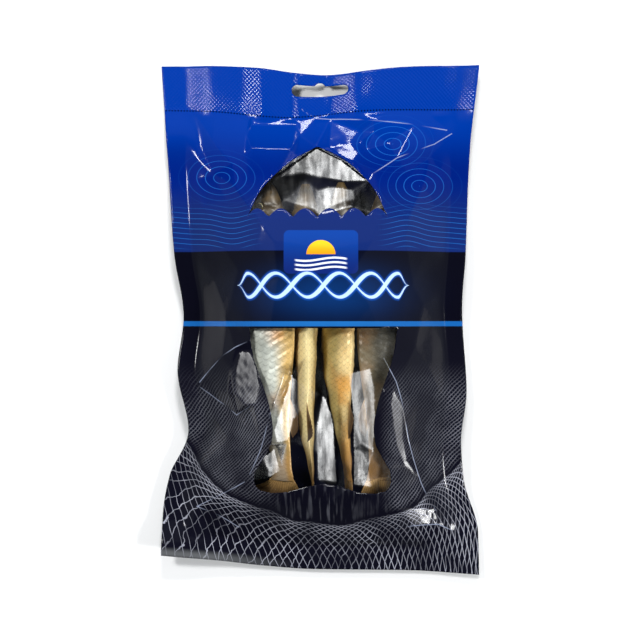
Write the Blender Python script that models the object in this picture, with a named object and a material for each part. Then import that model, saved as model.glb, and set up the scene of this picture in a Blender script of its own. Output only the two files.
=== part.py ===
"""A sealed hang-hole pouch of dried roach, lying on its back.

The pouch is two sheets of plastic film, welded along all four edges and filled between. It is one
closed solid. Both sheets start from one flat rectangle: u runs across from the middle, v runs up
from the bottom edge. The filling draws the sides in, and the slack film creases into flat facets.
Lengths below are in millimetres, and the finished mesh is in metres.
"""
import bmesh
import bpy
import numpy as np
from mathutils import Vector
from mathutils.geometry import delaunay_2d_cdt

MM = 0.001

# Film as it was cut and welded
WIDTH = 180.0
LENGTH = 288.0
HEADER = 25.0
SIDE_WELD = 10.0
BOTTOM_WELD = 12.0
WELD_THICKNESS = 1.0

# Hang slot: a bar with round ends and a small round hump in the middle of its upper side
SLOT_LENGTH = 32.0
SLOT_WIDTH = 6.4
SLOT_FROM_TOP = 9.8
HUMP_RADIUS = 3.4
HUMP_RISE = 1.8

# How far the filling draws each edge in, at stations along v or across u
LEFT_DRAW = ((0, 0.5), (30, 1.5), (55, 5.0), (82, 15.8), (116, 9.7), (146, 12.9),
             (180, 8.0), (232, 4.2), (288, 0.0))
RIGHT_DRAW = ((0, 0.0), (24, 0.5), (55, 9.0), (76, 10.5), (104, 7.2), (152, 9.9),
              (182, 7.8), (240, 5.5), (288, 0.0))
BOTTOM_DRAW = ((-90, 11.5), (-57, 8.3), (-31, 5.1), (-5, 3.1), (50, 2.4), (90, 0.0))
BOTTOM_DRAW_REACH = 70.0
TOP_DIP = 5.5
TOP_DIP_SPREAD = 24.0
TOP_DIP_REACH = 95.0

# Height of the welded edge above the surface it lies on, its waves, and the slope of the header across
WELD_LEVEL = ((0, 4.5), (60, 8.0), (200, 8.5), (258, 8.9), (266, 8.4), (288, 5.6))
SIDE_WAVE = 2.2
SIDE_WAVE_LENGTH = 88.0
HEADER_SLOPE = ((-90, 0.02), (-78, 0.03), (-73, 0.26), (-67, 0.28), (-60, 0.10), (-46, 0.08),
                (-40, 0.26), (-35, 0.28), (-30, -0.05), (-26, -0.18), (-18, -0.18), (-13, 0.28),
                (-10, -0.10), (2, -0.16), (9, 0.24), (18, 0.29), (24, 0.02), (34, -0.12), (62, -0.12),
                (76, 0.04), (83, 0.30), (90, 0.33))
CORNER_CURL = 7.0

# Rise of the shown side over the welds, along the middle, and the run of the back up to them
CROWN = ((0, 0), (12, 0), (30, 12), (55, 23), (90, 29), (150, 31), (188, 30.5), (204, 27.5),
         (236, 8.5), (244, 4.5), (263, 0), (288, 0))
CROWN_POWER = 2.8
CROWN_SHARPNESS = 1.2
BACK_RISE_SIDE = 22.0
BACK_RISE_BOTTOM = 24.0
BACK_RISE_TOP = 34.0

# Creases, as (u, v, rise over the smooth film)
CREASES = {
    "left_swag_low": ((-77, 261, 0), (-71, 243, -1.4), (-64, 227, -2.0), (-55, 211, -1.8),
                      (-45, 198, -1.0), (-35, 187, 0)),
    "left_swag_high": ((-73, 261, 0), (-62, 244, 0.6), (-51, 232, 0.8), (-41, 227, 0.5),
                       (-25, 225, 1.0), (-8, 223, 1.0)),
    "right_swag_high": ((30, 226, 1.6), (45, 235, 1.4), (69, 243, 0.6), (79, 249, 0)),
    "hammock": ((-50, 220, 0.8), (-32, 215, -0.6), (-20, 211, -1.2), (-4, 206, -1.6), (0, 202, -1.6),
                (17, 207, -1.4), (33, 218, -1.6), (52, 226, -1.8), (66, 235, -1.0), (77, 245, 0)),
    "left_swag_inner": ((-50, 220, 0.8), (-41, 208, 0.6), (-32, 196, 0.4), (-25, 187, 0)),
    "header_crease": ((-2, 261, 0.5), (6, 259.5, 1.4), (31, 256.5, 2.2), (56, 254, 1.6), (76, 251, 0)),
    "upright_left": ((-40, 260, 0), (-42, 251, 1.0), (-43, 240, 1.0), (-41, 227, 0.5)),
    "upright_middle": ((-11, 260, 0), (-11, 251, 1.4), (-13.5, 239, 0.8)),
    "tongue_left": ((23, 251, -1.2), (23, 245, -1.2), (22, 238, 0)),
    "tongue_right": ((31, 250, 1.0), (26, 240, 0.8), (28, 229, 1.6)),
    "left_arc": ((-43, 132, 0), (-52, 129, 1.6), (-62, 124, 2.0), (-78, 109, 0)),
    "left_streak": ((-78, 106, -1.0), (-68, 99, -2.4), (-54, 91, -3.4), (-42, 96, -1.0)),
    "left_patch": ((-54, 91, -3.4), (-59, 103, -1.0), (-55, 117, 1.0), (-52, 129, 1.6)),
    "left_long": ((-28, 138, 0), (-29, 119, 1.8), (-30, 106, 0)),
    "window_left": ((-20, 114, 0), (-26, 97, 1.6), (-33, 74, 1.8), (-40, 58, 0)),
    "right_long": ((36, 123, 0), (44, 110, 2.2), (49, 96, 2.6), (56, 74, 2.4), (62, 56, 1.8),
                   (68, 36, 0)),
    "right_foot": ((43, 25, 0), (53, 27, 2.0), (67, 28, 1.0), (76, 24, 0)),
    "left_foot_high": ((-43, 53, 0), (-57, 44, 2.2), (-71, 34, 0.6)),
    "left_foot_low": ((-71, 34, 0.6), (-57, 29, 1.8), (-46, 22, 0)),
    "ridge_two": ((-8, 170, 0), (-7, 150, 0.3), (-8, 126, 0.6), (-7, 112, 1.0)),
    "gap_two": ((3, 160, 0), (3, 138, -0.8), (3, 112, -2.0)),
}

# Flat panels of taut film: corners, slope along u and v, and rise over the smooth film
PANELS = {
    "apex": (((-14, 234), (-2, 243), (12, 234.5), (27, 221.5), (13, 221.5), (0, 224), (-9, 227)),
             (-0.02, -0.36), 2.0),
    "drop": (((-1, 217), (6, 219), (18, 217), (19, 211), (9, 208.5), (1, 208)), (-0.02, -0.37), -1.4),
    "above_window": (((5, 243), (17, 244), (20, 236), (18, 233), (11, 237)), (-0.01, -0.36), 0.0),
    "between": (((1, 103), (4, 100), (8, 88), (10, 53), (-2, 55), (-2, 71), (-2, 87)),
                (-0.455, 0.16), -1.6),
    "over_left_tail": (((-16, 115), (-14, 112), (-14, 89), (-17, 77), (-24, 76), (-26, 83),
                        (-23, 93), (-19, 105)), (0.285, -0.22), 0.0),
    "left_tail_fin": (((-32, 68), (-25, 74), (-21, 60), (-28, 56)), (0.275, -0.25), -0.6),
    "over_right_fish": (((15, 115), (28, 118), (31, 104), (31, 90), (30, 71), (23, 76), (18, 90)),
                        (-0.425, 0.17), -1.7),
    "right_tail": (((18, 73), (23, 71), (27, 63), (29, 50), (18, 52)), (-0.425, 0.14), -1.0),
    "right_streak": (((40, 98), (42, 106), (44, 98), (50, 80), (54, 66), (51, 63), (46, 74), (42, 88)),
                     (-0.295, 0.2), 0.4),
    "left_crumple": (((-48, 127), (-41, 127), (-36, 120), (-34, 108), (-38, 97), (-45, 97), (-53, 104),
                      (-51, 116)), (0.19, -0.18), 0.4),
    "upright_panel": (((-39, 257), (-14, 258), (-16, 243), (-39, 243)), (0.0, -0.05), 0.0),
}

# Facets between the creases, and how far the film follows them
FACET_PITCH = 21.0
FACET_JITTER = 0.4
FACET_CLEAR = 8.0
FACET_SHARE = 0.9
FACET_SEED = 8

# Mesh
STEP = 6.4
SLOT_END_STEPS = 5
HUMP_STEPS = 4


def smoothstep(low, high, at):
    """Ease from 0 at low to 1 at high."""
    t = np.clip((at - low) / (high - low), 0.0, 1.0)
    return t * t * (3.0 - 2.0 * t)


def smooth_through(stations, at):
    """Read a smooth curve through (place, value) stations, with no overshoot between them."""
    place, value = np.array(stations, dtype=float).T
    step = np.diff(place)
    slope = np.diff(value) / step
    tangent = np.concatenate((slope[:1], np.zeros(len(slope) - 1), slope[-1:]))
    for i in range(1, len(slope)):
        if slope[i - 1] * slope[i] > 0:
            tangent[i] = 2 * slope[i - 1] * slope[i] / (slope[i - 1] + slope[i])
    at = np.clip(at, place[0], place[-1])
    i = np.clip(np.searchsorted(place, at) - 1, 0, len(step) - 1)
    t = (at - place[i]) / step[i]
    return (value[i] * (1 + 2 * t) * (1 - t) ** 2
            + tangent[i] * step[i] * t * (1 - t) ** 2
            + value[i + 1] * t * t * (3 - 2 * t)
            + tangent[i + 1] * step[i] * t * t * (t - 1))


def along_path(path, u, v):
    """Return each point's signed distance from a path, left positive, and its share of the way."""
    points = np.array(path, dtype=float)
    lengths = np.hypot(*np.diff(points, axis=0).T)
    starts = np.concatenate(((0.0,), np.cumsum(lengths)))
    nearest = np.full(u.shape, np.inf)
    side = np.zeros(u.shape)
    share = np.zeros(u.shape)
    for i, length in enumerate(lengths):
        du, dv = (points[i + 1] - points[i]) / length
        run = np.clip((u - points[i, 0]) * du + (v - points[i, 1]) * dv, 0.0, length)
        off_u = u - points[i, 0] - run * du
        off_v = v - points[i, 1] - run * dv
        distance = np.hypot(off_u, off_v)
        closer = distance < nearest
        nearest = np.where(closer, distance, nearest)
        side = np.where(closer, np.where(du * off_v - dv * off_u >= 0, distance, -distance), side)
        share = np.where(closer, (starts[i] + run) / starts[-1], share)
    return side, share


def even_steps(outline, step):
    """Put points along a closed outline at about even steps, keeping its corners."""
    points = []
    for start, end in zip(outline, np.roll(outline, -1, axis=0)):
        count = max(1, round(np.hypot(*(end - start)) / step))
        points += [start + (end - start) * i / count for i in range(count)]
    return np.array(points)


def inside(outline, u, v):
    """Tell which points lie inside a closed outline."""
    crossed = np.zeros(u.shape, dtype=bool)
    for (au, av), (bu, bv) in zip(outline, np.roll(outline, -1, axis=0)):
        spans = (av > v) != (bv > v)
        rise = bv - av if bv != av else 1.0
        crossed ^= spans & (u < au + (bu - au) * (v - av) / rise)
    return crossed


def facet_nodes(draw):
    """Corners of the film's facets as (u, v, rise), and the edges that are creased."""
    nodes = []
    edges = []
    for path in CREASES.values():
        numbers = []
        for node in path:
            if node not in nodes:
                nodes.append(node)
            numbers.append(nodes.index(node))
        edges += list(zip(numbers, numbers[1:]))
    outlines = [np.array(path)[:, :2] for path in CREASES.values()]
    for corners, (tilt_u, tilt_v), rise in PANELS.values():
        middle_u, middle_v = np.mean(corners, axis=0)
        level = crown_height(np.array((middle_u,)), np.array((middle_v,)))[0] + rise
        first = len(nodes)
        for u, v in corners:
            plane = level + tilt_u * (u - middle_u) + tilt_v * (v - middle_v)
            nodes.append((u, v, plane - crown_height(np.array((u,)), np.array((v,)))[0]))
        edges += [(first + i, first + (i + 1) % len(corners)) for i in range(len(corners))]
        outlines.append(np.array((*corners, corners[0]), dtype=float))
    half, low, high = WIDTH / 2 - SIDE_WELD, BOTTOM_WELD, LENGTH - HEADER
    rim = even_steps(np.array(((-half, low), (half, low), (half, high), (-half, high))), FACET_PITCH)
    nodes += [(u, v, 0.0) for u, v in rim]
    for row, v in enumerate(np.arange(low + FACET_PITCH / 2, high, FACET_PITCH * 0.866)):
        for u in np.arange(-half + FACET_PITCH / 2 * (1 + row % 2), half, FACET_PITCH):
            place = np.array((u, v)) + draw.uniform(-0.22, 0.22, 2) * FACET_PITCH
            gap = min(abs(along_path(outline, place[:1], place[1:])[0][0]) for outline in outlines)
            covered = any(inside(np.array(corners), place[:1], place[1:])[0]
                          for corners, tilt, rise in PANELS.values())
            if gap > FACET_CLEAR and not covered and abs(place[0]) < half - FACET_CLEAR:
                nodes.append((place[0], place[1], draw.normal(0.0, FACET_JITTER)))
    return np.array(nodes, dtype=float), edges


def on_facets(u, v, nodes, height, edges):
    """Read the height of the flat facets that span the nodes."""
    found = delaunay_2d_cdt([Vector(n[:2]) for n in nodes], edges, [], 0, 1e-6)
    corners = np.array([tuple(p) for p in found[0]])
    height = np.array([np.mean(height[list(origin)]) if origin else np.nan for origin in found[3]])
    result = np.full(u.shape, np.nan)
    for a, b, c in found[2]:
        (au, av), (bu, bv), (cu, cv) = corners[[a, b, c]]
        area = (bu - au) * (cv - av) - (cu - au) * (bv - av)
        share_b = ((u - au) * (cv - av) - (cu - au) * (v - av)) / area
        share_c = ((bu - au) * (v - av) - (u - au) * (bv - av)) / area
        within = (share_b >= -1e-9) & (share_c >= -1e-9) & (share_b + share_c <= 1 + 1e-9)
        plane = height[a] + share_b * (height[b] - height[a]) + share_c * (height[c] - height[a])
        result[within] = plane[within]
    return result


def lay_out(u, v):
    """Move flat film points to their place in plan, drawn in by the filling."""
    draw = np.where(u < 0, smooth_through(LEFT_DRAW, v), smooth_through(RIGHT_DRAW, v))
    x = u - np.sign(u) * draw * smoothstep(25.0, 82.0, np.abs(u))
    dip_at = 2.0 - 22.0 * smoothstep(0.0, 30.0, LENGTH - v)
    dip = TOP_DIP * np.exp(-0.5 * ((u - dip_at) / TOP_DIP_SPREAD) ** 2)
    dip = dip * smoothstep(LENGTH - TOP_DIP_REACH, LENGTH, v)
    lift = smooth_through(BOTTOM_DRAW, u) * (1.0 - smoothstep(0.0, BOTTOM_DRAW_REACH, v))
    return x, v - LENGTH / 2 - dip + lift


def header_flute(u):
    """Rise and fall of the header across the pack, summed from its slope."""
    places = np.linspace(-WIDTH / 2, WIDTH / 2, 181)
    rise = np.cumsum(smooth_through(HEADER_SLOPE, places)) * (places[1] - places[0])
    return np.interp(u, places, rise - rise.mean())


def weld_level(u, v):
    """Height of the middle of the film's welded edge."""
    side = smoothstep(55.0, 85.0, np.abs(u))
    phase = 2 * np.pi * v / SIDE_WAVE_LENGTH
    wave = SIDE_WAVE * np.where(u < 0, np.sin(phase + 0.6), np.sin(phase + 2.4)) * side
    wave = wave * (1.0 - smoothstep(230.0, 263.0, v))
    flute = header_flute(u) * smoothstep(240.0, 266.0, v)
    curl = CORNER_CURL * smoothstep(10.0, 90.0, -u) * (1.0 - smoothstep(0.0, 26.0, v))
    return smooth_through(WELD_LEVEL, v) + wave + flute + curl


def free_of_welds(u, v, side, bottom, top):
    """Ease from 0 on the welds to 1 inside them, over the given runs."""
    from_side = WIDTH / 2 - SIDE_WELD - np.abs(u)
    from_bottom = v - BOTTOM_WELD
    from_top = LENGTH - HEADER - v
    return (smoothstep(0.0, side, from_side) * smoothstep(0.0, bottom, from_bottom)
            * smoothstep(0.0, top, from_top))


def crown_height(u, v):
    """Height of the shown sheet before it creases."""
    across = np.clip(np.abs(u) / (WIDTH / 2 - SIDE_WELD), 0.0, 1.0)
    bulge = np.clip(1.0 - across ** CROWN_POWER, 0.0, 1.0) ** CROWN_SHARPNESS
    return weld_level(u, v) + WELD_THICKNESS / 2 + smooth_through(CROWN, v) * bulge


def film_heights(u, v, nodes, creased):
    """Heights of the shown side and of the back."""
    level = weld_level(u, v)
    front = crown_height(u, v)
    node_height = crown_height(nodes[:, 0], nodes[:, 1]) + nodes[:, 2]
    facets = on_facets(u, v, nodes, node_height, creased)
    free = free_of_welds(u, v, 12.0, 6.0, 4.0) * FACET_SHARE
    front = np.where(np.isnan(facets), front, front + (facets - front) * free)
    rest = free_of_welds(u, v, BACK_RISE_SIDE, BACK_RISE_BOTTOM, BACK_RISE_TOP)
    back = (level - WELD_THICKNESS / 2) * (1.0 - rest)
    return np.maximum(front, back + WELD_THICKNESS), back


def slot_outline():
    """Flat points round the hang slot, counter-clockwise."""
    middle = LENGTH - SLOT_FROM_TOP
    radius = SLOT_WIDTH / 2
    reach = SLOT_LENGTH / 2 - radius
    points = []
    for end, start in ((reach, -90.0), (-reach, 90.0)):
        if end < 0:
            hump_middle = middle + radius + HUMP_RISE - HUMP_RADIUS
            spread = np.degrees(np.arccos((HUMP_RADIUS - HUMP_RISE) / HUMP_RADIUS))
            for angle in np.radians(np.linspace(90 - spread, 90 + spread, HUMP_STEPS + 1)):
                points.append((HUMP_RADIUS * np.cos(angle), hump_middle + HUMP_RADIUS * np.sin(angle)))
        for angle in np.radians(np.linspace(start, start + 180.0, SLOT_END_STEPS + 1)):
            points.append((end + radius * np.cos(angle), middle + radius * np.sin(angle)))
    return np.array(points)


def near(outline, u, v, reach):
    """Tell which points lie within reach of a row of points."""
    found = np.zeros(u.shape, dtype=bool)
    for au, av in outline:
        found |= np.hypot(u - au, v - av) < reach
    return found


def flat_film(nodes, creased):
    """Triangulate the flat film around its slot, with an edge along every crease."""
    corners = np.array(((-WIDTH / 2, 0.0), (WIDTH / 2, 0.0), (WIDTH / 2, LENGTH), (-WIDTH / 2, LENGTH)))
    slot = slot_outline()
    borders = [even_steps(corners, STEP), even_steps(slot, STEP)]
    folds = []
    for a, b in creased:
        start, end = nodes[a, :2], nodes[b, :2]
        count = max(1, round(np.hypot(*(end - start)) / STEP))
        folds.append(start + np.outer(np.arange(count + 1) / count, end - start))
    row_step = STEP * 0.866
    rows = []
    for row in range(1, int(LENGTH / row_step)):
        us = np.arange(-WIDTH / 2 + STEP / 2 + STEP / 2 * (row % 2), WIDTH / 2, STEP)
        rows.append(np.column_stack((us, np.full(len(us), row * row_step))))
    field = np.concatenate(rows)
    crowded = np.zeros(len(field), dtype=bool)
    for row in [*borders, *folds]:
        crowded |= near(row, field[:, 0], field[:, 1], STEP * 0.5)
    points = np.concatenate((*borders, *folds, field[~crowded]))
    edges = []
    first = 0
    for border in borders:
        edges += [(first + i, first + (i + 1) % len(border)) for i in range(len(border))]
        first += len(border)
    for row in folds:
        edges += [(first + i, first + i + 1) for i in range(len(row) - 1)]
        first += len(row)
    found = delaunay_2d_cdt([Vector(p) for p in points], edges, [], 0, 1e-6)
    points = np.array([tuple(p) for p in found[0]])
    triangles = np.array(found[2])
    centre = points[triangles].mean(axis=1)
    return points, triangles[~inside(slot, centre[:, 0], centre[:, 1])]


def film_finish():
    """Printed glossy film, dark blue."""
    material = bpy.data.materials.new("printed_film")
    material.use_nodes = True
    shader = material.node_tree.nodes["Principled BSDF"]
    shader.inputs["Base Color"].default_value = (0.006, 0.03, 0.16, 1.0)
    shader.inputs["Roughness"].default_value = 0.18
    shader.inputs["Metallic"].default_value = 0.0
    return material


def make_pouch():
    """Close the two sheets round the edge and round the slot."""
    nodes, creased = facet_nodes(np.random.default_rng(FACET_SEED))
    points, triangles = flat_film(nodes, creased)
    u, v = points.T
    x, y = lay_out(u, v)
    front, back = film_heights(u, v, nodes, creased)
    mesh = bmesh.new()
    sheets = []
    for z in (front, back):
        sheets.append([mesh.verts.new(Vector(place) * MM) for place in zip(x, y, z)])
    used = {}
    for a, b, c in triangles:
        mesh.faces.new((sheets[0][a], sheets[0][b], sheets[0][c]))
        mesh.faces.new((sheets[1][c], sheets[1][b], sheets[1][a]))
        for side in ((a, b), (b, c), (c, a)):
            used[side] = True
    for a, b in used:
        if (b, a) not in used:
            mesh.faces.new((sheets[0][b], sheets[0][a], sheets[1][a], sheets[1][b]))
    bmesh.ops.triangulate(mesh, faces=[face for face in mesh.faces if len(face.verts) > 3])
    bmesh.ops.recalc_face_normals(mesh, faces=mesh.faces)
    data = bpy.data.meshes.new("pouch")
    mesh.to_mesh(data)
    mesh.free()
    data.shade_smooth()
    data.set_sharp_from_angle(angle=np.radians(40.0))
    data.materials.append(film_finish())
    pouch = bpy.data.objects.new("pouch", data)
    bpy.context.scene.collection.objects.link(pouch)
    return pouch


for old in list(bpy.data.objects):
    bpy.data.objects.remove(old)
make_pouch()
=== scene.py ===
import bpy
import numpy as np
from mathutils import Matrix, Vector
from mathutils.geometry import delaunay_2d_cdt


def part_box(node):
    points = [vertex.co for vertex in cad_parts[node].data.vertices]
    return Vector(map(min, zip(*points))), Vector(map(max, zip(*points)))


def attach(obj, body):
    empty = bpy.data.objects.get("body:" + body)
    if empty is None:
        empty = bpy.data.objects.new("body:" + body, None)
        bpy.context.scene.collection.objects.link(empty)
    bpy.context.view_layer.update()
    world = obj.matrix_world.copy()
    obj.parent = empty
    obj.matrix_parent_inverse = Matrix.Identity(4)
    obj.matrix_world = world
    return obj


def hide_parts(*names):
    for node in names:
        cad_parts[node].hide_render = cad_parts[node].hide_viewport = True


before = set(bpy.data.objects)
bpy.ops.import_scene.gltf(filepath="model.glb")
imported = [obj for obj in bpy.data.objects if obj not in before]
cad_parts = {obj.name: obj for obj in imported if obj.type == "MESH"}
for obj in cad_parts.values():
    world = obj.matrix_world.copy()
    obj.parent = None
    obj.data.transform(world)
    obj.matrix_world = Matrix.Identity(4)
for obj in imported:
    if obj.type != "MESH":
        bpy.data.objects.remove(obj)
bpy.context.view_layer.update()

MM = 0.001
pouch_low, pouch_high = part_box("pouch")


# The flat film and the filling that shapes it
# The pouch is two sheets of laminate film, welded along their edges and cut from one flat
# rectangle: u runs across from the middle and v up from the bottom weld, in millimetres.
# Four dried roach lie inside, tails down the pack. They draw the sides in and leave the film slack.
WIDTH = (pouch_high[0] - pouch_low[0]) / MM
LENGTH = round((pouch_high[1] - pouch_low[1]) / MM)
HEADER = 25.0
SIDE_WELD = 10.0
BOTTOM_WELD = 12.0
WELD_GAP = 0.34

LEFT_DRAW = ((0, 0.5), (30, 1.5), (55, 5.0), (82, 15.8), (116, 9.7), (146, 12.9),
             (180, 8.0), (232, 4.2), (288, 0.0))
RIGHT_DRAW = ((0, 0.0), (24, 0.5), (55, 9.0), (76, 10.5), (104, 7.2), (152, 9.9),
              (182, 7.8), (240, 5.5), (288, 0.0))
BOTTOM_DRAW = ((-90, 11.5), (-57, 8.3), (-31, 5.1), (-5, 3.1), (50, 2.4), (90, 0.0))
BOTTOM_DRAW_REACH = 70.0
DRAW_RUN = (25.0, 82.0)
TOP_DIP = 5.5
TOP_DIP_PLACE = 2.0
TOP_DIP_SHIFT = 22.0
TOP_DIP_SHIFT_REACH = 30.0
TOP_DIP_SPREAD = 24.0
TOP_DIP_REACH = 95.0

WELD_LEVEL = ((0, 4.5), (60, 8.0), (200, 8.5), (258, 8.9), (266, 8.4), (288, 5.6))
SIDE_WAVE = 2.2
SIDE_WAVE_LENGTH = 88.0
SIDE_WAVE_START = (0.6, 2.4)
SIDE_WAVE_RUN = (55.0, 85.0)
SIDE_WAVE_END = (230.0, 263.0)
HEADER_SLOPE = ((-90, 0.02), (-78, 0.03), (-73, 0.26), (-67, 0.28), (-60, 0.10), (-46, 0.08),
                (-40, 0.26), (-35, 0.28), (-30, -0.05), (-26, -0.18), (-18, -0.18), (-13, 0.28),
                (-10, -0.10), (2, -0.16), (9, 0.24), (18, 0.29), (24, 0.02), (34, -0.12), (62, -0.12),
                (76, 0.04), (83, 0.30), (90, 0.33))
HEADER_SAMPLES = 181
FLUTE_RUN = (240.0, 266.0)
CORNER_CURL = 7.0
CORNER_CURL_RUN = (10.0, 90.0)
CORNER_CURL_REACH = 26.0

CROWN = ((0, 0), (12, 0), (30, 12), (55, 23), (90, 29), (150, 31), (188, 30.5), (204, 27.5),
         (236, 8.5), (244, 4.5), (263, 0), (288, 0))
CROWN_POWER = 2.8
CROWN_SHARPNESS = 1.2
BACK_RUNS = (22.0, 24.0, 34.0)
FACET_RUNS = (12.0, 6.0, 4.0)
CRUMPLE_RUNS = (10.0, 8.0, 8.0)
ROW_SHARE = 0.866
SAME_PLACE = 1e-6
SLACK = 1e-9
TURN = 2 * np.pi


def smoothstep(low, high, at):
    """Ease from 0 at low to 1 at high."""
    t = np.clip((at - low) / (high - low), 0.0, 1.0)
    return t * t * (3.0 - 2.0 * t)


def smooth_through(stations, at):
    """Read a smooth curve through (place, value) stations, with no overshoot between them."""
    place, value = np.array(stations, dtype=float).T
    step = np.diff(place)
    slope = np.diff(value) / step
    tangent = np.concatenate((slope[:1], np.zeros(len(slope) - 1), slope[-1:]))
    for i in range(1, len(slope)):
        if slope[i - 1] * slope[i] > 0:
            tangent[i] = 2 * slope[i - 1] * slope[i] / (slope[i - 1] + slope[i])
    at = np.clip(at, place[0], place[-1])
    i = np.clip(np.searchsorted(place, at) - 1, 0, len(step) - 1)
    t = (at - place[i]) / step[i]
    return (value[i] * (1 + 2 * t) * (1 - t) ** 2
            + tangent[i] * step[i] * t * (1 - t) ** 2
            + value[i + 1] * t * t * (3 - 2 * t)
            + tangent[i + 1] * step[i] * t * t * (t - 1))


def along_path(path, u, v):
    """Return each point's signed distance from a path, left positive, and its share of the way."""
    points = np.array(path, dtype=float)
    lengths = np.hypot(*np.diff(points, axis=0).T)
    starts = np.concatenate(((0.0,), np.cumsum(lengths)))
    nearest = np.full(u.shape, np.inf)
    side = np.zeros(u.shape)
    share = np.zeros(u.shape)
    for i, length in enumerate(lengths):
        du, dv = (points[i + 1] - points[i]) / length
        run = np.clip((u - points[i, 0]) * du + (v - points[i, 1]) * dv, 0.0, length)
        off_u = u - points[i, 0] - run * du
        off_v = v - points[i, 1] - run * dv
        distance = np.hypot(off_u, off_v)
        closer = distance < nearest
        nearest = np.where(closer, distance, nearest)
        side = np.where(closer, np.where(du * off_v - dv * off_u >= 0, distance, -distance), side)
        share = np.where(closer, (starts[i] + run) / starts[-1], share)
    return side, share


def even_steps(outline, step):
    """Put points along a closed outline at about even steps, keeping its corners."""
    points = []
    for start, end in zip(outline, np.roll(outline, -1, axis=0)):
        count = max(1, round(np.hypot(*(end - start)) / step))
        points += [start + (end - start) * i / count for i in range(count)]
    return np.array(points)


def inside(outline, u, v):
    """Tell which points lie inside a closed outline."""
    crossed = np.zeros(u.shape, dtype=bool)
    for (au, av), (bu, bv) in zip(outline, np.roll(outline, -1, axis=0)):
        spans = (av > v) != (bv > v)
        rise = bv - av if bv != av else 1.0
        crossed ^= spans & (u < au + (bu - au) * (v - av) / rise)
    return crossed


CREASES = {
    "left_swag_low": ((-77, 261, 0), (-71, 243, -1.4), (-64, 227, -2.0), (-55, 211, -1.8),
                      (-45, 198, -1.0), (-35, 187, 0)),
    "left_swag_high": ((-73, 261, 0), (-62, 244, 0.6), (-51, 232, 0.8), (-41, 227, 0.5),
                       (-25, 225, 1.0), (-8, 223, 1.0)),
    "right_swag_high": ((30, 226, 1.6), (45, 235, 1.4), (69, 243, 0.6), (79, 249, 0)),
    "hammock": ((-50, 220, 0.8), (-32, 215, -0.6), (-20, 211, -1.2), (-4, 206, -1.6), (0, 202, -1.6),
                (17, 207, -1.4), (33, 218, -1.6), (52, 226, -1.8), (66, 235, -1.0), (77, 245, 0)),
    "left_swag_inner": ((-50, 220, 0.8), (-41, 208, 0.6), (-32, 196, 0.4), (-25, 187, 0)),
    "header_crease": ((-2, 261, 0.5), (6, 259.5, 1.4), (31, 256.5, 2.2), (56, 254, 1.6), (76, 251, 0)),
    "upright_left": ((-40, 260, 0), (-42, 251, 1.0), (-43, 240, 1.0), (-41, 227, 0.5)),
    "upright_middle": ((-11, 260, 0), (-11, 251, 1.4), (-13.5, 239, 0.8)),
    "tongue_left": ((23, 251, -1.2), (23, 245, -1.2), (22, 238, 0)),
    "tongue_right": ((31, 250, 1.0), (26, 240, 0.8), (28, 229, 1.6)),
    "left_arc": ((-43, 132, 0), (-52, 129, 1.6), (-62, 124, 2.0), (-78, 109, 0)),
    "left_streak": ((-78, 106, -1.0), (-68, 99, -2.4), (-54, 91, -3.4), (-42, 96, -1.0)),
    "left_patch": ((-54, 91, -3.4), (-59, 103, -1.0), (-55, 117, 1.0), (-52, 129, 1.6)),
    "left_long": ((-28, 138, 0), (-29, 119, 1.8), (-30, 106, 0)),
    "window_left": ((-20, 114, 0), (-26, 97, 1.6), (-33, 74, 1.8), (-40, 58, 0)),
    "right_long": ((36, 123, 0), (44, 110, 2.2), (49, 96, 2.6), (56, 74, 2.4), (62, 56, 1.8),
                   (68, 36, 0)),
    "right_foot": ((43, 25, 0), (53, 27, 2.0), (67, 28, 1.0), (76, 24, 0)),
    "left_foot_high": ((-43, 53, 0), (-57, 44, 2.2), (-71, 34, 0.6)),
    "left_foot_low": ((-71, 34, 0.6), (-57, 29, 1.8), (-46, 22, 0)),
    "ridge_two": ((-8, 170, 0), (-7, 150, 0.3), (-8, 126, 0.6), (-7, 112, 1.0)),
    "gap_two": ((3, 160, 0), (3, 138, -0.8), (3, 112, -2.0)),
}
PANELS = {
    "apex": (((-14, 234), (-2, 243), (12, 234.5), (27, 221.5), (13, 221.5), (0, 224), (-9, 227)),
             (-0.02, -0.36), 2.0),
    "drop": (((-1, 217), (6, 219), (18, 217), (19, 211), (9, 208.5), (1, 208)), (-0.02, -0.37), -1.4),
    "above_window": (((5, 243), (17, 244), (20, 236), (18, 233), (11, 237)), (-0.01, -0.36), 0.0),
    "between": (((1, 103), (4, 100), (8, 88), (10, 53), (-2, 55), (-2, 71), (-2, 87)),
                (-0.455, 0.16), -1.6),
    "over_left_tail": (((-16, 115), (-14, 112), (-14, 89), (-17, 77), (-24, 76), (-26, 83),
                        (-23, 93), (-19, 105)), (0.285, -0.22), 0.0),
    "left_tail_fin": (((-32, 68), (-25, 74), (-21, 60), (-28, 56)), (0.275, -0.25), -0.6),
    "over_right_fish": (((15, 115), (28, 118), (31, 104), (31, 90), (30, 71), (23, 76), (18, 90)),
                        (-0.425, 0.17), -1.7),
    "right_tail": (((18, 73), (23, 71), (27, 63), (29, 50), (18, 52)), (-0.425, 0.14), -1.0),
    "right_streak": (((40, 98), (42, 106), (44, 98), (50, 80), (54, 66), (51, 63), (46, 74), (42, 88)),
                     (-0.295, 0.2), 0.4),
    "left_crumple": (((-48, 127), (-41, 127), (-36, 120), (-34, 108), (-38, 97), (-45, 97), (-53, 104),
                      (-51, 116)), (0.19, -0.18), 0.4),
    "upright_panel": (((-39, 257), (-14, 258), (-16, 243), (-39, 243)), (0.0, -0.05), 0.0),
}
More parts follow.
